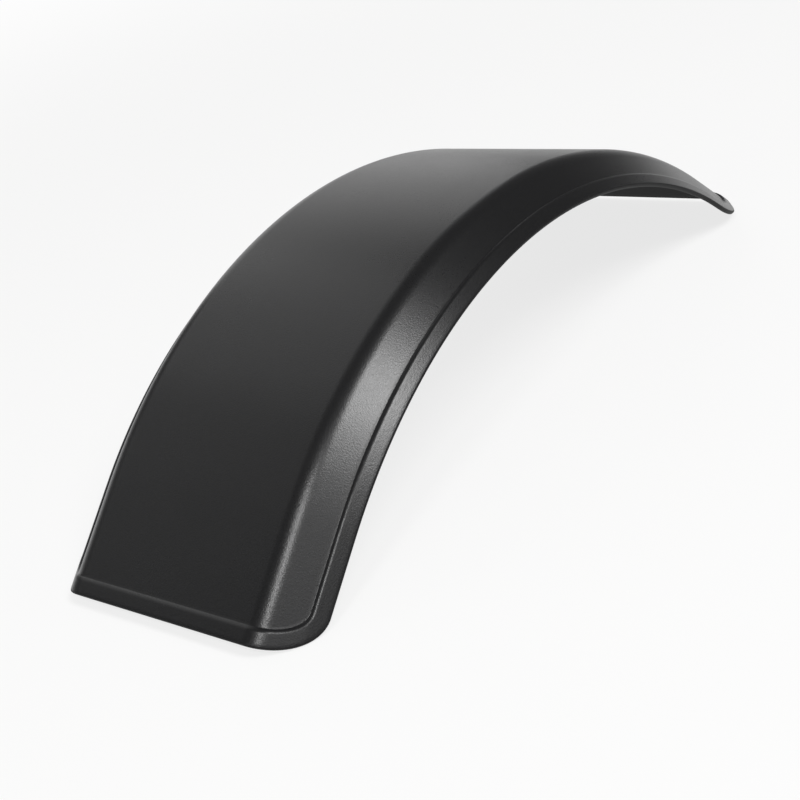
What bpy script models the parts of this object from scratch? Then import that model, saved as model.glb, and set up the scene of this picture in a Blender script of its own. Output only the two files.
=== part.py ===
"""Front wheel fender: one arched shell of moulded black polyethylene.

The sheet is first laid out flat, with s along the wheel's path and u across it, as a rounded
rectangle with a raised band around its edge. It is then bent across by the section curve (flat
tread, round shoulders, sloping walls, steeper rim) and along by the side view (arc with a straight
run at each end). One side is built, mirrored and given the thickness of the sheet.

The two ends differ: the long end has the longer straight run and tight corners, and the short end
has long, sweeping corners.

Metres, +Z up. X runs along the arch towards the long end, and Y across it. The fender stands on
its four corners, and the origin is on the ground below its middle.
"""

import math
from collections import namedtuple

import bmesh
import bpy

# Side view of the tread's outer face
TREAD_RADIUS = 0.620
ARC_ANGLE = math.radians(82.2)
LONG_STRAIGHT = 0.1225
SHORT_STRAIGHT = 0.0905

# Section across the fender, measured along its outer face
TREAD_WIDTH = 0.2335
SHOULDER_RADIUS = 0.0342
WALL_SLOPE = math.radians(40.2)
WALL_WIDTH = 0.0304
RIM_SLOPE = math.radians(45.2)

# Raised band around the whole edge
BAND_WIDTH = 0.0195
BAND_HEIGHT = 0.0025
STEP_RUN = 0.0030

# Rounded corners of the laid-out sheet
LONG_END_CORNER_ALONG = 0.0470
LONG_END_CORNER_ACROSS = 0.0700
SHORT_END_CORNER_ALONG = 0.0960
SHORT_END_CORNER_ACROSS = 0.0620

# Sheet and its trimmed edges
SHEET = 0.006
EDGE_ROUNDING = 0.0010

# Fineness of the mesh
ARC_STEP = math.radians(2.5)
SHOULDER_STEP = math.radians(7.0)
TREAD_STEP = 0.045
CORNER_STEPS = 14
CLOSEST_LINES = 0.0015
CREASE_ANGLE = math.radians(30.0)
LEANING_ROUNDS = 4

# Finish
BLACK = (0.012, 0.012, 0.013, 1.0)
ROUGHNESS = 0.45

# An end of the fender: which way it lies along X, its straight run and its corners' reach
End = namedtuple("End", "side straight corner_along corner_across")
LONG_END = End(1, LONG_STRAIGHT, LONG_END_CORNER_ALONG, LONG_END_CORNER_ACROSS)
SHORT_END = End(-1, SHORT_STRAIGHT, SHORT_END_CORNER_ALONG, SHORT_END_CORNER_ACROSS)


def clear_scene():
    """Remove every object that the file starts with."""
    for item in list(bpy.data.objects):
        bpy.data.objects.remove(item, do_unlink=True)


def steps_between(start, end, largest):
    """Return evenly spaced values from start to end, both included."""
    count = max(1, math.ceil(abs(end - start) / largest - 1e-6))
    return [start + (end - start) * i / count for i in range(count + 1)]


def section_pieces():
    """List the section from the middle outwards as pairs of length and turn."""
    return [
        (TREAD_WIDTH / 2, 0.0),
        (SHOULDER_RADIUS * WALL_SLOPE, WALL_SLOPE),
        (WALL_WIDTH, 0.0),
        (STEP_RUN, RIM_SLOPE - WALL_SLOPE),
        (BAND_WIDTH - STEP_RUN, 0.0),
    ]


HALF_WIDTH = sum(length for length, turn in section_pieces())
HALF_ARC = TREAD_RADIUS * ARC_ANGLE / 2


def section_point(u):
    """Bend the sheet across: return y, drop below the tread and slope at u from the middle."""
    y = drop = slope = 0.0
    left = u
    for length, turn in section_pieces():
        run = min(left, length)
        bend = turn * run / length
        middle = slope + bend / 2
        chord = run if abs(bend) < 1e-9 else run * math.sin(bend / 2) / (bend / 2)
        y += chord * math.cos(middle)
        drop += chord * math.sin(middle)
        slope += bend
        left -= run
    return y, drop, slope


def sheet_point(end, s, u, raised):
    """Bend the sheet both ways: place the point s towards that end and u across, on the band if raised."""
    y, drop, slope = section_point(u)
    height = BAND_HEIGHT if raised else 0.0
    y += height * math.sin(slope)
    out = TREAD_RADIUS - drop + height * math.cos(slope)
    angle = min(s, HALF_ARC) / TREAD_RADIUS
    straight = max(s - HALF_ARC, 0.0)
    x = out * math.sin(angle) + straight * math.cos(angle)
    z = out * math.cos(angle) - straight * math.sin(angle)
    return end.side * x, y, z


def lines_across():
    """Return the u of every lengthwise line, from the rim to the middle, each with its raised flag."""
    foot = HALF_WIDTH - BAND_WIDTH
    shoulder_end = foot - WALL_WIDTH
    tread_edge = TREAD_WIDTH / 2
    corners = {HALF_WIDTH - end.corner_across for end in (LONG_END, SHORT_END)}
    fine = SHOULDER_RADIUS * SHOULDER_STEP
    inner = [(foot + shoulder_end) / 2]
    inner += steps_between(shoulder_end, tread_edge, fine)
    inner += steps_between(tread_edge, 0.0, TREAD_STEP)[1:]
    inner = [u for u in inner if all(abs(u - corner) > CLOSEST_LINES for corner in corners)]
    inner = sorted(inner + list(corners), reverse=True)
    raised = [(HALF_WIDTH, True), (foot + STEP_RUN, True)]
    return raised + [(foot, False)] + [(u, False) for u in inner]


def lines_along(end):
    """Return the s of every crosswise line, from the corner's centre to the middle of the arch."""
    corner = HALF_ARC + end.straight - end.corner_along
    arc = steps_between(HALF_ARC, 0.0, TREAD_RADIUS * ARC_STEP)
    straight = steps_between(corner, HALF_ARC, TREAD_STEP)[:-1] if corner > HALF_ARC else [corner]
    return straight + [s for s in arc if s < corner - CLOSEST_LINES]


def add_patch(mesh, rows):
    """Cover a grid of points with quads."""
    made = [[mesh.verts.new(point) for point in row] for row in rows]
    for upper, lower in zip(made, made[1:]):
        for i in range(len(upper) - 1):
            mesh.faces.new((upper[i], upper[i + 1], lower[i + 1], lower[i]))


def quarter_skin(mesh, end):
    """Build a quarter of the outer face: the tread, its side, its end and the rounded corner."""
    u_corner = HALF_WIDTH - end.corner_across
    s_corner = HALF_ARC + end.straight - end.corner_along
    rings = [line for line in lines_across() if line[0] >= u_corner]
    tread = [u for u, raised in lines_across() if u <= u_corner]
    along = lines_along(end)
    shrink = (end.corner_along - BAND_WIDTH) / (end.corner_across - BAND_WIDTH)

    def reach_along(u):
        """Return how far beyond the corner's centre the ring through u lies at the fender's end."""
        inset = HALF_WIDTH - u
        if inset <= BAND_WIDTH:
            return end.corner_along - inset
        return end.corner_along - BAND_WIDTH - (inset - BAND_WIDTH) * shrink

    add_patch(mesh, [[sheet_point(end, s, u, False) for u in tread] for s in along])
    add_patch(mesh, [[sheet_point(end, s, u, raised) for u, raised in rings] for s in along])
    end_rows = []
    for u, raised in rings:
        s = s_corner + reach_along(u)
        end_rows.append([sheet_point(end, s, t, raised) for t in tread])
    add_patch(mesh, end_rows)
    corner = []
    for turn in steps_between(0.0, math.pi / 2, math.pi / 2 / CORNER_STEPS):
        row = []
        for u, raised in rings:
            s = s_corner + reach_along(u) * math.sin(turn)
            row.append(sheet_point(end, s, u_corner + (u - u_corner) * math.cos(turn), raised))
        corner.append(row)
    add_patch(mesh, corner)


def fender_mesh():
    """Return the mesh of one side of the outer face, with its faces pointing out."""
    mesh = bmesh.new()
    quarter_skin(mesh, LONG_END)
    quarter_skin(mesh, SHORT_END)
    bmesh.ops.remove_doubles(mesh, verts=mesh.verts, dist=1e-5)
    bmesh.ops.dissolve_degenerate(mesh, edges=mesh.edges, dist=1e-6)
    bmesh.ops.recalc_face_normals(mesh, faces=mesh.faces)
    if sum(face.normal.z * face.calc_area() for face in mesh.faces) < 0:
        bmesh.ops.reverse_faces(mesh, faces=mesh.faces)
    data = bpy.data.meshes.new("fender_shell")
    mesh.to_mesh(data)
    mesh.free()
    return data


def black_polyethylene():
    """Return the shell's finish: black polyethylene with a fine moulded grain."""
    material = bpy.data.materials.new("black_polyethylene")
    material.use_nodes = True
    shader = material.node_tree.nodes["Principled BSDF"]
    shader.inputs["Base Color"].default_value = BLACK
    shader.inputs["Roughness"].default_value = ROUGHNESS
    shader.inputs["Metallic"].default_value = 0.0
    return material


def fender_shell():
    """Make the shell: mirror the side, thicken it inwards and ease its edges."""
    data = fender_mesh()
    data.materials.append(black_polyethylene())
    shell = bpy.data.objects.new("fender_shell", data)
    bpy.context.scene.collection.objects.link(shell)

    sides = shell.modifiers.new("both_sides", "MIRROR")
    sides.use_axis = (False, True, False)
    sides.use_mirror_merge = True
    sides.merge_threshold = 0.00005

    wall = shell.modifiers.new("sheet_thickness", "SOLIDIFY")
    wall.thickness = SHEET
    wall.offset = -1.0
    wall.use_even_offset = True
    wall.use_quality_normals = True

    edges = shell.modifiers.new("eased_edges", "BEVEL")
    edges.width = EDGE_ROUNDING
    edges.segments = 2
    edges.limit_method = "ANGLE"
    edges.angle_limit = CREASE_ANGLE

    data.shade_smooth()
    data.set_sharp_from_angle(angle=CREASE_ANGLE)
    return shell


def placed_points(shell):
    """Return the finished shell's points where they stand in the world."""
    bpy.context.view_layer.update()
    solid = shell.evaluated_get(bpy.context.evaluated_depsgraph_get())
    return [shell.matrix_world @ vertex.co for vertex in solid.data.vertices]


def stand_on_ground(shell):
    """Lean the shell until both ends touch the ground, then set its middle over the origin."""
    for _ in range(LEANING_ROUNDS):
        points = placed_points(shell)
        long_foot = min((p for p in points if p.x > 0), key=lambda p: p.z)
        short_foot = min((p for p in points if p.x < 0), key=lambda p: p.z)
        across = long_foot - short_foot
        shell.rotation_euler.y += math.atan2(across.z, across.x)
    points = placed_points(shell)
    along = [p.x for p in points]
    shell.location.x = -(min(along) + max(along)) / 2
    shell.location.z = -min(p.z for p in points)


clear_scene()
stand_on_ground(fender_shell())
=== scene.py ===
"""Looks of the front wheel fender: one arched shell of moulded black polyethylene.

The shell starts as a flat, closed blank of sheet, with its raised band and rounded corners. A tree of
geometry nodes rolls the blank down three times: at the rims, over the shoulders and along the wheel's
path. The finished mesh then stands on its four corners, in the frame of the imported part.

Metres, +Z up. X runs along the arch towards the long end, and Y across the fender.
"""

import logging
import math
from dataclasses import dataclass
from enum import IntEnum

import bmesh
import bpy
from mathutils import Matrix, Vector


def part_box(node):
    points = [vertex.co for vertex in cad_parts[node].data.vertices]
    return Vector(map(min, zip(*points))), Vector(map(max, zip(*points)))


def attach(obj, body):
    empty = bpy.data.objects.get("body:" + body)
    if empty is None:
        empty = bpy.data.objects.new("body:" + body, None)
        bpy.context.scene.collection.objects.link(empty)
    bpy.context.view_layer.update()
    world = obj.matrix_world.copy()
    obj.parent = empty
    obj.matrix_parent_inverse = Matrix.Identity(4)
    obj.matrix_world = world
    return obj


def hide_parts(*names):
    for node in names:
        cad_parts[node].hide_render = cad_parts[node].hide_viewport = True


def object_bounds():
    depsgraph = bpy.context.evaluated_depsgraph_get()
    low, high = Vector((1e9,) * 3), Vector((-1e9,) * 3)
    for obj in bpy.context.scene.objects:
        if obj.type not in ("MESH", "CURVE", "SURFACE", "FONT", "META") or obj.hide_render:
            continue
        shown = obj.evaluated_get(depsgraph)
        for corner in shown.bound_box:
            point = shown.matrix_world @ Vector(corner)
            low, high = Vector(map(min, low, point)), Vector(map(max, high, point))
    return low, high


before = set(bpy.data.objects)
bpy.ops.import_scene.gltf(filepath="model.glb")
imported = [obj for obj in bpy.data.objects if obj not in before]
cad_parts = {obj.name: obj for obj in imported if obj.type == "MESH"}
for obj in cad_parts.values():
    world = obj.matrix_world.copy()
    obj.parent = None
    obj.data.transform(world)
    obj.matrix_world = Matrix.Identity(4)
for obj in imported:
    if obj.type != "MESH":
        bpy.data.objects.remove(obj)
CAD_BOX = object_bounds()

PIECE = "moulded_shell"
NODE = "fender_shell"
BODY = "root"
FACE_ATTRIBUTE = "surface"
PHOTO_PIXELS = 800
MM_PER_METRE = 1000
ROUND_OFF = 1e-6

# Hardly any value of a noise texture lies outside this range
NOISE_LOW = 0.3
NOISE_HIGH = 0.7

log = logging.getLogger("fender")


class Surface(IntEnum):
    """What a face of the sheet is, and so which finish it has."""

    OUTER = 0
    EDGE = 1
    UNDERSIDE = 2


def linear(hex_colour: str) -> tuple[float, float, float, float]:
    """Turn an sRGB hex colour into the linear one that Blender works in, by the standard's own curve.

    Args:
        hex_colour: The colour as "#RRGGBB".

    Returns:
        Red, green, blue and an alpha of 1.
    """
    parts = [int(hex_colour[i:i + 2], 16) / 255 for i in (1, 3, 5)]
    red, green, blue = (c / 12.92 if c <= 0.04045 else ((c + 0.055) / 1.055) ** 2.4 for c in parts)
    return red, green, blue, 1.0


def add_node(
    tree: bpy.types.NodeTree,
    kind: str,
    inputs: dict[str | int, object] | None = None,
    **settings: object,
) -> bpy.types.Node:
    """Add a node, set its properties, and fill or link its inputs.

    Args:
        tree: The tree that the node goes into.
        kind: The node's type, such as "ShaderNodeBump".
        inputs: For each input's name or number, a value or the socket that feeds it.
        **settings: The node's own properties.

    Returns:
        The new node.
    """
    node = tree.nodes.new(kind)
    for name, value in settings.items():
        setattr(node, name, value)
    for key, value in (inputs or {}).items():
        if isinstance(value, bpy.types.NodeSocket):
            tree.links.new(value, node.inputs[key])
        else:
            node.inputs[key].default_value = value
    return node


def steps_between(start: float, end: float, largest: float) -> list[float]:
    """Divide a stretch evenly.

    Args:
        start: The first value.
        end: The last value.
        largest: The largest step allowed.

    Returns:
        The evenly spaced values from start to end, both included.
    """
    count = max(1, math.ceil(abs(end - start) / largest - ROUND_OFF))
    return [start + (end - start) * i / count for i in range(count + 1)]


@dataclass(frozen=True)
class GrainedPolyethylene:
    """Black polyethylene sheet, formed against a mould that has a fine pebble grain.

    It looks satin and a little waxy. The grain breaks every highlight into small specks and spreads it
    wide, and the sheen drifts slowly where the sheet was stretched more or less. The index of refraction
    is polyethylene's. The photograph is too coarse to give the grain's size. About 0.5 mm is assumed,
    which is too fine to show in the render, so it is drawn two to three times as coarse. Its depth and
    the sheen are matched to the speckle and highlights in the photograph. Sizes are in millimetres.
    """

    name: str = "moulded_polyethylene_grained"
    colour: str = "#121213"
    # Painted light: the colour on top of each pebble, paler than in the hollows between them
    painted_peak_light_colour: str = "#1A1A1B"
    ior: float = 1.51
    roughness: float = 0.305
    cloud_spread: float = 0.012
    speckle_spread: float = 0.025

    pebble_mm: float = 1.5
    pebble_smoothness: float = 0.6
    fine_mm: float = 0.8
    fine_detail: float = 2.0
    fine_share: float = 0.80
    grain_depth_mm: float = 0.07
    speckle_mm: float = 1.3
    speckle_detail: float = 1.0
    cloud_mm: float = 90.0
    cloud_detail: float = 3.0

    def material(self) -> bpy.types.Material:
        """Make the material.

        Returns:
            The material, whose pattern follows the piece's own coordinates.
        """
        material = bpy.data.materials.new(self.name)
        material.use_nodes = True
        tree = material.node_tree
        shader = tree.nodes["Principled BSDF"]
        shader.inputs["IOR"].default_value = self.ior
        place = add_node(tree, "ShaderNodeTexCoord").outputs["Object"]

        # Relief: rounded pebbles with a finer roughness on them
        pebbles = add_node(tree, "ShaderNodeTexVoronoi", {
            "Vector": place, "Scale": MM_PER_METRE / self.pebble_mm, "Smoothness": self.pebble_smoothness,
        }, feature="SMOOTH_F1").outputs["Distance"]
        fine = add_node(tree, "ShaderNodeTexNoise", {
            "Vector": place, "Scale": MM_PER_METRE / self.fine_mm, "Detail": self.fine_detail,
        }).outputs["Fac"]
        grain = add_node(tree, "ShaderNodeMath", {
            0: fine, 1: self.fine_share, 2: pebbles,
        }, operation="MULTIPLY_ADD").outputs[0]
        bump = add_node(tree, "ShaderNodeBump", {
            "Height": grain, "Strength": 1.0, "Distance": self.grain_depth_mm / MM_PER_METRE,
        }, invert=True)
        tree.links.new(bump.outputs["Normal"], shader.inputs["Normal"])

        # Sheen: slow clouds and small specks
        clouds = add_node(tree, "ShaderNodeTexNoise", {
            "Vector": place, "Scale": MM_PER_METRE / self.cloud_mm, "Detail": self.cloud_detail,
        }).outputs["Fac"]
        satin = add_node(tree, "ShaderNodeMapRange", {
            "Value": clouds, "From Min": NOISE_LOW, "From Max": NOISE_HIGH,
            "To Min": self.roughness - self.cloud_spread, "To Max": self.roughness + self.cloud_spread,
        }).outputs["Result"]
        specks = add_node(tree, "ShaderNodeTexNoise", {
            "Vector": place, "Scale": MM_PER_METRE / self.speckle_mm, "Detail": self.speckle_detail,
        }).outputs["Fac"]
        uneven = add_node(tree, "ShaderNodeMapRange", {
            "Value": specks, "From Min": NOISE_LOW, "From Max": NOISE_HIGH,
            "To Min": -self.speckle_spread, "To Max": self.speckle_spread,
        }).outputs["Result"]
        sheen = add_node(tree, "ShaderNodeMath", {0: satin, 1: uneven}, operation="ADD")
        tree.links.new(sheen.outputs[0], shader.inputs["Roughness"])

        # Colour: painted light and shade on the grain, paler on top of each pebble and darker in the
        # hollows between
        tint = add_node(tree, "ShaderNodeMix", {
            "Factor": pebbles, "A": linear(self.painted_peak_light_colour), "B": linear(self.colour),
        }, data_type="RGBA")
        tree.links.new(tint.outputs["Result"], shader.inputs["Base Color"])
        return material


@dataclass(frozen=True)
class SmoothPolyethylene:
    """Black polyethylene sheet where no mould touched it, or where a router trimmed it.

    It looks plainer and duller than the grained face. The underside has only the slow waves of sheet
    that was formed soft, and the trimmed edge has fine tool marks. Reflection is how strongly it mirrors,
    where plain plastic is 0.5. It is set lower than that, to match how dark the edge and the underside
    are in the photograph. Sizes are in millimetres.
    """

    name: str
    roughness: float
    reflection: float
    wave_mm: float
    wave_depth_mm: float
    colour: str = "#0C0C0D"
    mottle_colour: str = "#111112"
    wave_detail: float = 3.0
    ior: float = 1.51

    def material(self) -> bpy.types.Material:
        """Make the material.

        Returns:
            The material, whose pattern follows the piece's own coordinates.
        """
        material = bpy.data.materials.new(self.name)
        material.use_nodes = True
        tree = material.node_tree
        shader = tree.nodes["Principled BSDF"]
        shader.inputs["IOR"].default_value = self.ior
        shader.inputs["Roughness"].default_value = self.roughness
        shader.inputs["Specular IOR Level"].default_value = self.reflection
        place = add_node(tree, "ShaderNodeTexCoord").outputs["Object"]

        waves = add_node(tree, "ShaderNodeTexNoise", {
            "Vector": place, "Scale": MM_PER_METRE / self.wave_mm, "Detail": self.wave_detail,
        }).outputs["Fac"]
        bump = add_node(tree, "ShaderNodeBump", {
            "Height": waves, "Strength": 1.0, "Distance": self.wave_depth_mm / MM_PER_METRE,
        })
        tree.links.new(bump.outputs["Normal"], shader.inputs["Normal"])
        tint = add_node(tree, "ShaderNodeMix", {
            "Factor": waves, "A": linear(self.colour), "B": linear(self.mottle_colour),
        }, data_type="RGBA")
        tree.links.new(tint.outputs["Result"], shader.inputs["Base Color"])
        return material


GRAINED_FACE = GrainedPolyethylene()
TRIMMED_EDGE = SmoothPolyethylene(
    "routed_polyethylene_edge", roughness=0.60, reflection=0.25, wave_mm=0.9, wave_depth_mm=0.06,
)
PLAIN_UNDERSIDE = SmoothPolyethylene(
    "formed_polyethylene_underside", roughness=0.65, reflection=0.08, wave_mm=14.0, wave_depth_mm=0.25,
)


class RollingNodes:
    """The geometry nodes that roll the flat blank down at the rims, the shoulders and along the path."""

    SIZES = (
        "Foot", "Rim Radius", "Rim Turn", "Tread Edge", "Shoulder Radius", "Wall Slope",
        "Tread Radius", "Half Arc",
    )
    FINISHES = {
        "Grained Face": Surface.OUTER,
        "Trimmed Edge": Surface.EDGE,
        "Plain Underside": Surface.UNDERSIDE,
    }

    @staticmethod
    def roll_once() -> bpy.types.NodeTree:
        """Build the group that rolls a flat sheet down over a cylinder and lets the rest run on straight.

        Returns:
            The group. Along and Up place a point in the section, and Up counts from the sheet's face.
        """
        tree = bpy.data.node_groups.new("roll_once", "GeometryNodeTree")
        for name in ("Along", "Up", "Start", "Radius", "Turn"):
            tree.interface.new_socket(name, in_out="INPUT", socket_type="NodeSocketFloat")
        for name in ("Along", "Up"):
            tree.interface.new_socket(name, in_out="OUTPUT", socket_type="NodeSocketFloat")
        along, up, start, radius, turn = add_node(tree, "NodeGroupInput").outputs[:5]

        end = add_node(tree, "ShaderNodeMath", {
            0: radius, 1: turn, 2: start,
        }, operation="MULTIPLY_ADD").outputs[0]
        angle = add_node(tree, "ShaderNodeMapRange", {
            "Value": along, "From Min": start, "From Max": end, "To Min": 0.0, "To Max": turn,
        }).outputs["Result"]
        past = add_node(tree, "ShaderNodeMath", {0: along, 1: end}, operation="SUBTRACT").outputs[0]
        straight = add_node(tree, "ShaderNodeMath", {0: past, 1: 0.0}, operation="MAXIMUM").outputs[0]
        before = add_node(tree, "ShaderNodeMath", {0: along, 1: start}, operation="MINIMUM").outputs[0]
        reach = add_node(tree, "ShaderNodeMath", {0: radius, 1: up}, operation="ADD").outputs[0]
        sine = add_node(tree, "ShaderNodeMath", {0: angle}, operation="SINE").outputs[0]
        cosine = add_node(tree, "ShaderNodeMath", {0: angle}, operation="COSINE").outputs[0]

        arc_along = add_node(tree, "ShaderNodeMath", {
            0: reach, 1: sine, 2: before,
        }, operation="MULTIPLY_ADD").outputs[0]
        new_along = add_node(tree, "ShaderNodeMath", {
            0: straight, 1: cosine, 2: arc_along,
        }, operation="MULTIPLY_ADD").outputs[0]
        fall = add_node(tree, "ShaderNodeMath", {
            0: straight, 1: sine, 2: radius,
        }, operation="MULTIPLY_ADD").outputs[0]
        arc_up = add_node(tree, "ShaderNodeMath", {0: reach, 1: cosine}, operation="MULTIPLY").outputs[0]
        new_up = add_node(tree, "ShaderNodeMath", {0: arc_up, 1: fall}, operation="SUBTRACT").outputs[0]
        add_node(tree, "NodeGroupOutput", {0: new_along, 1: new_up})
        return tree

    def tree(self) -> bpy.types.NodeTree:
        """Build the tree that rolls the blank and dresses its faces.

        Returns:
            The tree, with one named input for each size and finish.
        """
        once = self.roll_once()
        tree = bpy.data.node_groups.new("roll_fender", "GeometryNodeTree")
        tree.interface.new_socket("Blank", in_out="INPUT", socket_type="NodeSocketGeometry")
        for name in self.SIZES:
            tree.interface.new_socket(name, in_out="INPUT", socket_type="NodeSocketFloat")
        for name in self.FINISHES:
            tree.interface.new_socket(name, in_out="INPUT", socket_type="NodeSocketMaterial")
        tree.interface.new_socket("Shell", in_out="OUTPUT", socket_type="NodeSocketGeometry")
        given = add_node(tree, "NodeGroupInput").outputs

        # One quarter is rolled, and each point gets its own signs back at the end
        place = add_node(tree, "GeometryNodeInputPosition").outputs[0]
        flat = add_node(tree, "ShaderNodeSeparateXYZ", {0: place}).outputs
        reach_x, reach_y = (
            add_node(tree, "ShaderNodeMath", {0: flat[i]}, operation="ABSOLUTE").outputs[0] for i in (0, 1)
        )
        sign_x, sign_y = (
            add_node(tree, "ShaderNodeMath", {0: flat[i]}, operation="SIGN").outputs[0] for i in (0, 1)
        )
        rim = add_node(tree, "GeometryNodeGroup", node_tree=once)
        shoulder = add_node(tree, "GeometryNodeGroup", node_tree=once)
        path = add_node(tree, "GeometryNodeGroup", {"Start": 0.0}, node_tree=once)
        feeds = {
            rim: {
                "Along": reach_y, "Up": flat[2],
                "Start": given["Foot"], "Radius": given["Rim Radius"], "Turn": given["Rim Turn"],
            },
            shoulder: {
                "Along": rim.outputs["Along"], "Up": rim.outputs["Up"], "Start": given["Tread Edge"],
                "Radius": given["Shoulder Radius"], "Turn": given["Wall Slope"],
            },
            path: {
                "Along": reach_x, "Up": shoulder.outputs["Up"],
                "Radius": given["Tread Radius"], "Turn": given["Half Arc"],
            },
        }
        for group, sockets in feeds.items():
            for name, socket in sockets.items():
                tree.links.new(socket, group.inputs[name])
        along = add_node(tree, "ShaderNodeMath", {
            0: sign_x, 1: path.outputs["Along"],
        }, operation="MULTIPLY").outputs[0]
        across = add_node(tree, "ShaderNodeMath", {
            0: sign_y, 1: shoulder.outputs["Along"],
        }, operation="MULTIPLY").outputs[0]
        rolled = add_node(tree, "ShaderNodeCombineXYZ", {
            0: along, 1: across, 2: path.outputs["Up"],
        }).outputs[0]

        shell = add_node(tree, "GeometryNodeSetPosition", {"Geometry": given["Blank"], "Position": rolled})
        shell = add_node(tree, "GeometryNodeSetShadeSmooth", {"Geometry": shell.outputs[0]})
        shell = add_node(tree, "GeometryNodeRealizeInstances", {"Geometry": shell.outputs[0]})
        kind = add_node(tree, "GeometryNodeInputNamedAttribute", {"Name": FACE_ATTRIBUTE}, data_type="INT")
        for name, surface in self.FINISHES.items():
            chosen = add_node(tree, "FunctionNodeCompare", {
                "A": kind.outputs["Attribute"], "B": int(surface),
            }, data_type="INT", operation="EQUAL")
            shell = add_node(tree, "GeometryNodeSetMaterial", {
                "Geometry": shell.outputs[0], "Selection": chosen.outputs[0], "Material": given[name],
            })
        add_node(tree, "NodeGroupOutput", {0: shell.outputs[0]})
        return tree

    def roll(
        self, blank: bpy.types.Object, values: dict[str, float | bpy.types.Material],
    ) -> bpy.types.Mesh:
        """Roll a flat blank and turn the result into a plain mesh.

        Args:
            blank: The object that holds the flat sheet.
            values: The value of each named input.

        Returns:
            The rolled mesh.
        """
        tree = self.tree()
        modifier = blank.modifiers.new("roll", "NODES")
        modifier.node_group = tree
        sockets = {
            item.name: item.identifier for item in tree.interface.items_tree if item.in_out == "INPUT"
        }
        for name, value in values.items():
            modifier[sockets[name]] = value
        done = blank.evaluated_get(bpy.context.evaluated_depsgraph_get())
        mesh = bpy.data.meshes.new_from_object(done)
        blank.modifiers.remove(modifier)
        return mesh


@dataclass(frozen=True)
class SheetEnd:
    """One end of the laid-out sheet: its direction along X, its straight run and its corners' reach."""

    side: int
    straight: float
    corner_along: float
    corner_across: float


@dataclass(frozen=True)
class BandStep:
    """The step up to the raised band: how much nearer the edge it is, and how far its two bends reach."""

    shift: float
    foot_blend: float
    crest_blend: float


@dataclass(frozen=True)
class Station:
    """A line along the blank: its distance from the middle, its height, and the strip just before it."""

    u: float
    height: float
    surface: Surface


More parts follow.
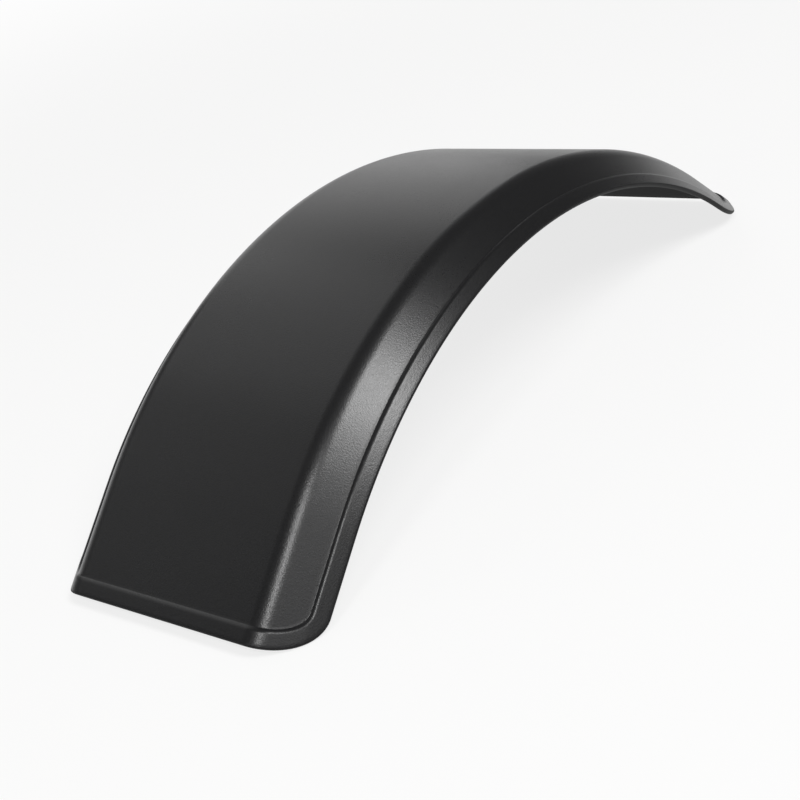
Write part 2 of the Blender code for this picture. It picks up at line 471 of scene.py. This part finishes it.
@dataclass
class FenderShell:
    """The fender: one sheet with a flat tread, round shoulders, sloping walls and a raised band."""

    tread_radius: float = 0.620
    arc_angle: float = math.radians(82.2)
    tread_width: float = 0.2335
    shoulder_radius: float = 0.0342
    wall_slope: float = math.radians(40.2)
    wall_width: float = 0.0304
    rim_slope: float = math.radians(45.2)
    band_width: float = 0.0195
    band_height: float = 0.0025
    step_run: float = 0.0030
    sheet: float = 0.006
    edge_rounding: float = 0.0022
    long_end: SheetEnd = SheetEnd(side=1, straight=0.1225, corner_along=0.0470, corner_across=0.0700)
    short_end: SheetEnd = SheetEnd(side=-1, straight=0.0905, corner_along=0.0960, corner_across=0.0620)

    # How softly the band's step bends
    outer_foot_blend: float = 0.0004
    outer_crest_blend: float = 0.0021
    inner_blend: float = 0.0014

    # Fineness of the mesh
    along_spacing: float = 0.009
    tread_spacing: float = 0.012
    wall_spacing: float = 0.004
    shoulder_spacing: float = 0.0013
    step_spacing: float = 0.0003
    corner_steps: int = 26
    rounding_steps: int = 4
    leaning_rounds: int = 5
    weld_distance: float = 0.00002

    @property
    def tread_edge(self) -> float:
        """Return how far from the middle the tread's flat ends."""
        return self.tread_width / 2

    @property
    def shoulder_end(self) -> float:
        """Return how far from the middle the shoulder's curve ends, along the sheet."""
        return self.tread_edge + self.shoulder_radius * self.wall_slope

    @property
    def foot(self) -> float:
        """Return how far from the middle the foot of the band's step is, along the sheet."""
        return self.shoulder_end + self.wall_width

    @property
    def half_width(self) -> float:
        """Return how far from the middle the sheet's edge is, along the sheet."""
        return self.foot + self.band_width

    @property
    def half_arc(self) -> float:
        """Return half the length of the tread's arc."""
        return self.tread_radius * self.arc_angle / 2

    @property
    def outer_step(self) -> BandStep:
        """Return the step on the outer face, with a tight foot and a rounder crest."""
        return BandStep(0.0, self.outer_foot_blend, self.outer_crest_blend)

    @property
    def inner_step(self) -> BandStep:
        """Return the step on the underside, set nearer the edge so that the sheet keeps its gauge."""
        shift = self.sheet * math.tan(math.atan2(self.band_height, self.step_run) / 2)
        return BandStep(shift, self.inner_blend, self.inner_blend)

    def corner_centres(self) -> list[float]:
        """Return how far from the middle the centres of the corners' curves are."""
        return [self.half_width - end.corner_across for end in (self.long_end, self.short_end)]

    def rise(self, u: float, step: BandStep) -> float:
        """Work out the height of the band's step, a straight ramp with a rounded foot and crest.

        Args:
            u: The distance from the middle.
            step: The step on this side of the sheet.

        Returns:
            The height above the wall, from zero to the band's height.
        """
        run = u - self.foot - step.shift
        slope = self.band_height / self.step_run
        at_foot = max(step.foot_blend - abs(run), 0.0)
        at_crest = max(step.crest_blend - abs(run - self.step_run), 0.0)
        ramp = slope * min(max(run, 0.0), self.step_run)
        filled = slope * at_foot ** 2 / (4 * step.foot_blend)
        eased = slope * at_crest ** 2 / (4 * step.crest_blend)
        return ramp + filled - eased

    def lines(self, step: BandStep) -> list[float]:
        """List the lines that run along one side of the sheet.

        Args:
            step: The step on this side of the sheet.

        Returns:
            Distances from the middle, from zero up to where the edge's rounding starts.
        """
        step_start = self.foot + step.shift - step.foot_blend
        step_end = self.foot + step.shift + self.step_run + step.crest_blend
        last = self.half_width - self.edge_rounding
        marks = [
            *steps_between(0.0, self.tread_edge, self.tread_spacing),
            *steps_between(self.tread_edge, self.shoulder_end, self.shoulder_spacing)[1:],
            *steps_between(self.shoulder_end, step_start, self.wall_spacing)[1:],
            *steps_between(step_start, step_end, self.step_spacing)[1:],
            *steps_between(step_end, last, self.wall_spacing)[1:],
        ]
        centres = self.corner_centres()
        clear = [
            u for u in marks
            if u in (0.0, last) or all(abs(u - centre) > self.step_spacing for centre in centres)
        ]
        return sorted(clear + centres)

    def stations(self) -> list[Station]:
        """Follow the blank's section from the middle of its outer face, round its edge and back inside.

        Returns:
            The stations in order.
        """
        above, below = self.outer_step, self.inner_step
        outer = [Station(u, self.rise(u, above), Surface.OUTER) for u in self.lines(above)]
        radius = self.edge_rounding
        centre = self.half_width - radius
        top = self.band_height - radius
        bottom = self.band_height - self.sheet + radius
        edge = []
        for middle, first in ((top, math.pi / 2), (bottom, 0.0)):
            for angle in steps_between(first, first - math.pi / 2, math.pi / 2 / self.rounding_steps):
                u = centre + radius * math.cos(angle)
                edge.append(Station(u, middle + radius * math.sin(angle), Surface.EDGE))
        inner = [
            Station(u, self.rise(u, below) - self.sheet, Surface.UNDERSIDE) for u in self.lines(below)
        ]
        return outer + edge[1:-1] + inner[::-1]

    def reach_along(self, end: SheetEnd, u: float) -> float:
        """Work out how far beyond the corner's centre a line round the corner reaches along the sheet.

        Args:
            end: The end that the corner is at.
            u: The line's distance from the middle on the sheet's side.

        Returns:
            The reach at the sheet's end.
        """
        inset = self.half_width - u
        if inset <= self.band_width:
            return end.corner_along - inset
        shrink = (end.corner_along - self.band_width) / (end.corner_across - self.band_width)
        return end.corner_along - self.band_width - (inset - self.band_width) * shrink

    def add_grid(self, mesh: bmesh.types.BMesh, rows: list[list[Vector]], strips: list[Surface]) -> None:
        """Cover a grid of points with quads.

        Args:
            mesh: The mesh that they go into.
            rows: The points, each row across the stations.
            strips: The kind of surface that leads to each point of a row.
        """
        layer = mesh.faces.layers.int[FACE_ATTRIBUTE]
        made = [[mesh.verts.new(point) for point in row] for row in rows]
        for near, far in zip(made, made[1:]):
            for i in range(1, len(near)):
                face = mesh.faces.new((near[i - 1], near[i], far[i], far[i - 1]))
                face[layer] = strips[i]

    def add_quarter(self, mesh: bmesh.types.BMesh, end: SheetEnd, across: int) -> None:
        """Lay out a quarter of the blank: its side, its end and the rounded corner between them.

        Args:
            mesh: The mesh that it goes into.
            end: The end of the sheet.
            across: The side of the sheet, 1 or -1.
        """
        u_corner = self.half_width - end.corner_across
        s_corner = self.half_arc + end.straight - end.corner_along
        stations = self.stations()
        rings = [station for station in stations if station.u >= u_corner]
        strips = [station.surface for station in rings]

        def place(s: float, u: float, height: float) -> Vector:
            """Return the point that far along, across and up in this quarter."""
            return Vector((end.side * s, across * u, height))

        side = [
            [place(s, station.u, station.height) for station in stations]
            for s in steps_between(0.0, s_corner, self.along_spacing)
        ]
        self.add_grid(mesh, side, [station.surface for station in stations])
        tip = [
            [place(s_corner + self.reach_along(end, ring.u), u, ring.height) for ring in rings]
            for u in self.lines(self.outer_step) if u <= u_corner
        ]
        self.add_grid(mesh, tip, strips)
        corner = [
            [
                place(
                    s_corner + self.reach_along(end, ring.u) * math.sin(turn),
                    u_corner + (ring.u - u_corner) * math.cos(turn),
                    ring.height,
                )
                for ring in rings
            ]
            for turn in steps_between(0.0, math.pi / 2, math.pi / 2 / self.corner_steps)
        ]
        self.add_grid(mesh, corner, strips)

    def blank(self) -> bpy.types.Object:
        """Build the flat, closed blank.

        Returns:
            The object that holds it, with the kind of surface written on each face.
        """
        mesh = bmesh.new()
        mesh.faces.layers.int.new(FACE_ATTRIBUTE)
        for end in (self.long_end, self.short_end):
            for across in (1, -1):
                self.add_quarter(mesh, end, across)
        bmesh.ops.remove_doubles(mesh, verts=mesh.verts, dist=self.weld_distance)
        bmesh.ops.dissolve_degenerate(mesh, edges=mesh.edges, dist=ROUND_OFF)
        bmesh.ops.recalc_face_normals(mesh, faces=mesh.faces)
        data = bpy.data.meshes.new(PIECE)
        mesh.to_mesh(data)
        mesh.free()
        blank = bpy.data.objects.new(PIECE, data)
        bpy.context.scene.collection.objects.link(blank)
        return blank

    def stand(self, mesh: bpy.types.Mesh) -> None:
        """Lean the rolled mesh until both ends touch the ground, and set it over the CAD box's middle.

        Args:
            mesh: The rolled mesh, whose points are moved.
        """
        for _ in range(self.leaning_rounds):
            long_foot = min((v.co for v in mesh.vertices if v.co.x > 0), key=lambda p: p.z)
            short_foot = min((v.co for v in mesh.vertices if v.co.x < 0), key=lambda p: p.z)
            across = long_foot - short_foot
            mesh.transform(Matrix.Rotation(math.atan2(across.z, across.x), 4, "Y"))
        along = [v.co.x for v in mesh.vertices]
        lowest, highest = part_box(NODE)
        shift_x = (lowest[0] + highest[0]) / 2 - (min(along) + max(along)) / 2
        shift_z = lowest[2] - min(v.co.z for v in mesh.vertices)
        mesh.transform(Matrix.Translation((shift_x, 0.0, shift_z)))

    def build(self) -> bpy.types.Object:
        """Make the shell's mesh and dress it.

        Returns:
            The finished piece, riding on the part's body.
        """
        shell = self.blank()
        rolled = RollingNodes().roll(shell, {
            "Foot": self.foot,
            "Rim Radius": self.step_run / (self.rim_slope - self.wall_slope),
            "Rim Turn": self.rim_slope - self.wall_slope,
            "Tread Edge": self.tread_edge,
            "Shoulder Radius": self.shoulder_radius,
            "Wall Slope": self.wall_slope,
            "Tread Radius": self.tread_radius,
            "Half Arc": self.arc_angle / 2,
            "Grained Face": GRAINED_FACE.material(),
            "Trimmed Edge": TRIMMED_EDGE.material(),
            "Plain Underside": PLAIN_UNDERSIDE.material(),
        })
        self.stand(rolled)
        shell.data = rolled
        self.dress(shell)
        return shell

    def dress(self, shell: bpy.types.Object) -> None:
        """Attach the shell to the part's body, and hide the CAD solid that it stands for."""
        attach(shell, BODY)
        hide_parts(NODE)


@dataclass(frozen=True)
class PhotoCamera:
    """The camera that took the photograph, as fitted to the fender's outlines."""

    position: Vector = Vector((1.12395, 1.03572, 0.78517))
    target: Vector = Vector((0.18064, 0.09938, 0.08987))
    roll: float = math.radians(-16.506)
    focal_pixels: float = 1448.39
    sensor_mm: float = 36.0

    def build(self) -> bpy.types.Object:
        """Make the camera and make it the scene's own.

        Returns:
            The camera.
        """
        data = bpy.data.cameras.new("photo_camera")
        data.sensor_width = self.sensor_mm
        data.lens = self.sensor_mm * self.focal_pixels / PHOTO_PIXELS
        forward = (self.target - self.position).normalized()
        level_right = forward.cross(Vector((0, 0, 1))).normalized()
        level_up = level_right.cross(forward)
        right = math.cos(self.roll) * level_right + math.sin(self.roll) * level_up
        up = right.cross(forward)
        turn = Matrix((right, up, -forward)).transposed().to_4x4()
        camera = bpy.data.objects.new("photo_camera", data)
        camera.matrix_world = Matrix.Translation(self.position) @ turn
        bpy.context.scene.collection.objects.link(camera)
        bpy.context.scene.camera = camera
        return camera


@dataclass(frozen=True)
class Softbox:
    """A square studio softbox that faces the part.

    Direction is where it stands as seen from the part, half_angle is how large it looks from there, and
    brightness is the radiance of its face.
    """

    name: str
    direction: tuple[float, float, float]
    half_angle: float
    brightness: float
    distance: float = 6.0

    def build(self, target: Vector) -> bpy.types.Object:
        """Make the lamp.

        Args:
            target: The point that it faces.

        Returns:
            The lamp.
        """
        data = bpy.data.lights.new(self.name, "AREA")
        data.shape = "SQUARE"
        data.size = 2 * self.distance * math.tan(self.half_angle)
        data.energy = self.brightness * math.pi * data.size ** 2
        lamp = bpy.data.objects.new(self.name, data)
        away = Vector(self.direction).normalized()
        lamp.location = target + away * self.distance
        lamp.rotation_euler = away.to_track_quat("Z", "Y").to_euler()
        bpy.context.scene.collection.objects.link(lamp)
        return lamp


@dataclass
class Studio:
    """The plain pale studio round the part: its floor, its dim room and its softboxes.

    The floor glows by floor_glow where the part stands, and wholly from glow_full on, so the lamps show
    the part's shadow but leave few bright pools. From fade_start on it fades into the horizon's grey.
    The softboxes' places and brightness are matched to the highlights in the photograph.
    """

    floor_radius: float = 14.0
    floor_sides: int = 64
    floor_gap: float = 0.0003
    floor_colour: str = "#F2F2F1"
    floor_roughness: float = 0.9
    glow_colour: str = "#FDFDFD"
    floor_glow: float = 0.80
    glow_start: float = 1.0
    glow_full: float = 4.0
    fade_start: float = 5.0
    horizon_colour: str = "#A0A0A0"
    room_colour: str = "#595959"
    horizon_top: float = math.radians(15)

    # The keys light the near wall, shoulder_light the near shoulder and the fills the near end, and the
    # dim panels behind give the tread its sheen
    softboxes: tuple[Softbox, ...] = (
        Softbox("key", (0.04, 0.585, 0.81), math.radians(9.5), 15.2),
        Softbox("low_key", (0.026, 0.743, 0.669), math.radians(6), 11.0),
        Softbox("shoulder_light", (0.59, 0.28, 0.755), math.radians(5.5), 22.0),
        Softbox("side_fill", (0.458, 0.630, 0.629), math.radians(10), 1.0),
        Softbox("front_fill", (0.95, 0.0, 0.30), math.radians(12), 2.0),
        Softbox("back_panel", (-0.611, -0.729, 0.309), math.radians(17), 0.80),
        Softbox("back_top_panel", (-0.171, -0.686, 0.707), math.radians(15), 0.65),
        Softbox("end_panel", (0.312, -0.735, 0.602), math.radians(14), 0.38),
    )

    def floor_material(self) -> bpy.types.Material:
        """Make the floor's matt white paint, part of whose light is its own where it is looked at.

        Returns:
            The material.
        """
        material = bpy.data.materials.new("painted_studio_floor")
        material.use_nodes = True
        tree = material.node_tree
        shader = tree.nodes["Principled BSDF"]
        shader.inputs["Roughness"].default_value = self.floor_roughness
        shader.inputs["Specular IOR Level"].default_value = 0.0
        place = add_node(tree, "ShaderNodeTexCoord").outputs["Object"]
        away = add_node(tree, "ShaderNodeVectorMath", {0: place}, operation="LENGTH").outputs["Value"]
        fade = add_node(tree, "ShaderNodeMapRange", {
            "Value": away, "From Min": self.fade_start, "From Max": self.floor_radius,
        }, interpolation_type="SMOOTHSTEP").outputs["Result"]
        paint, own_light = (
            add_node(tree, "ShaderNodeMix", {
                "Factor": fade, "A": linear(near), "B": linear(self.horizon_colour),
            }, data_type="RGBA").outputs["Result"]
            for near in (self.floor_colour, self.glow_colour)
        )
        tree.links.new(paint, shader.inputs["Base Color"])
        glow = add_node(tree, "ShaderNodeEmission", {"Color": own_light, "Strength": 1.0})

        path = add_node(tree, "ShaderNodeLightPath").outputs
        mirrored = add_node(tree, "ShaderNodeMath", {
            0: path["Is Glossy Ray"], 1: path["Is Transmission Ray"],
        }, operation="ADD").outputs[0]
        seen = add_node(tree, "ShaderNodeMath", {
            0: path["Is Camera Ray"], 1: mirrored,
        }, operation="ADD", use_clamp=True).outputs[0]
        strength = add_node(tree, "ShaderNodeMapRange", {
            "Value": away, "From Min": self.glow_start, "From Max": self.glow_full,
            "To Min": self.floor_glow, "To Max": 1.0,
        }, interpolation_type="SMOOTHSTEP").outputs["Result"]
        share = add_node(tree, "ShaderNodeMath", {0: seen, 1: strength}, operation="MULTIPLY").outputs[0]
        mix = add_node(tree, "ShaderNodeMixShader", {0: share, 1: shader.outputs[0], 2: glow.outputs[0]})
        tree.links.new(mix.outputs[0], tree.nodes["Material Output"].inputs["Surface"])
        return material

    def floor(self) -> bpy.types.Object:
        """Lay the floor just below the part.

        Returns:
            The floor.
        """
        mesh = bmesh.new()
        bmesh.ops.create_circle(mesh, cap_ends=True, segments=self.floor_sides, radius=self.floor_radius)
        data = bpy.data.meshes.new("studio_floor")
        mesh.to_mesh(data)
        mesh.free()
        data.transform(Matrix.Translation((0.0, 0.0, -self.floor_gap)))
        data.materials.append(self.floor_material())
        floor = bpy.data.objects.new("studio_floor", data)
        bpy.context.scene.collection.objects.link(floor)
        return floor

    def light_room(self) -> None:
        """Light the room dimly, and a little more near the horizon, where the floor fades into it."""
        world = bpy.data.worlds.new("studio_room")
        world.use_nodes = True
        bpy.context.scene.world = world
        tree = world.node_tree
        toward = add_node(tree, "ShaderNodeTexCoord").outputs["Generated"]
        height = add_node(tree, "ShaderNodeSeparateXYZ", {0: toward}).outputs["Z"]
        climb = add_node(tree, "ShaderNodeMapRange", {
            "Value": height, "From Min": 0.0, "From Max": math.sin(self.horizon_top),
        }, interpolation_type="SMOOTHSTEP").outputs["Result"]
        shade = add_node(tree, "ShaderNodeMix", {
            "Factor": climb, "A": linear(self.horizon_colour), "B": linear(self.room_colour),
        }, data_type="RGBA").outputs["Result"]
        tree.links.new(shade, tree.nodes["Background"].inputs["Color"])

    def build(self, target: Vector) -> None:
        """Make the floor, the room and the softboxes.

        Args:
            target: The point that the softboxes face.
        """
        self.floor()
        self.light_room()
        for softbox in self.softboxes:
            softbox.build(target)
        bpy.context.scene.view_settings.view_transform = "Standard"


def main() -> None:
    """Build the camera, the fender and the studio in order, and report each piece."""
    logging.basicConfig(level=logging.INFO, format="%(name)s: %(message)s")
    camera = PhotoCamera().build()
    log.info("%s: %.1f mm lens", camera.name, camera.data.lens)
    shell = FenderShell().build()
    log.info("%s: %d faces", shell.name, len(shell.data.polygons))
    lowest, highest = (Vector(corner) for corner in CAD_BOX)
    studio = Studio()
    studio.build((lowest + highest) / 2)
    log.info("studio: %d softboxes", len(studio.softboxes))


if __name__ == "__main__":
    main()
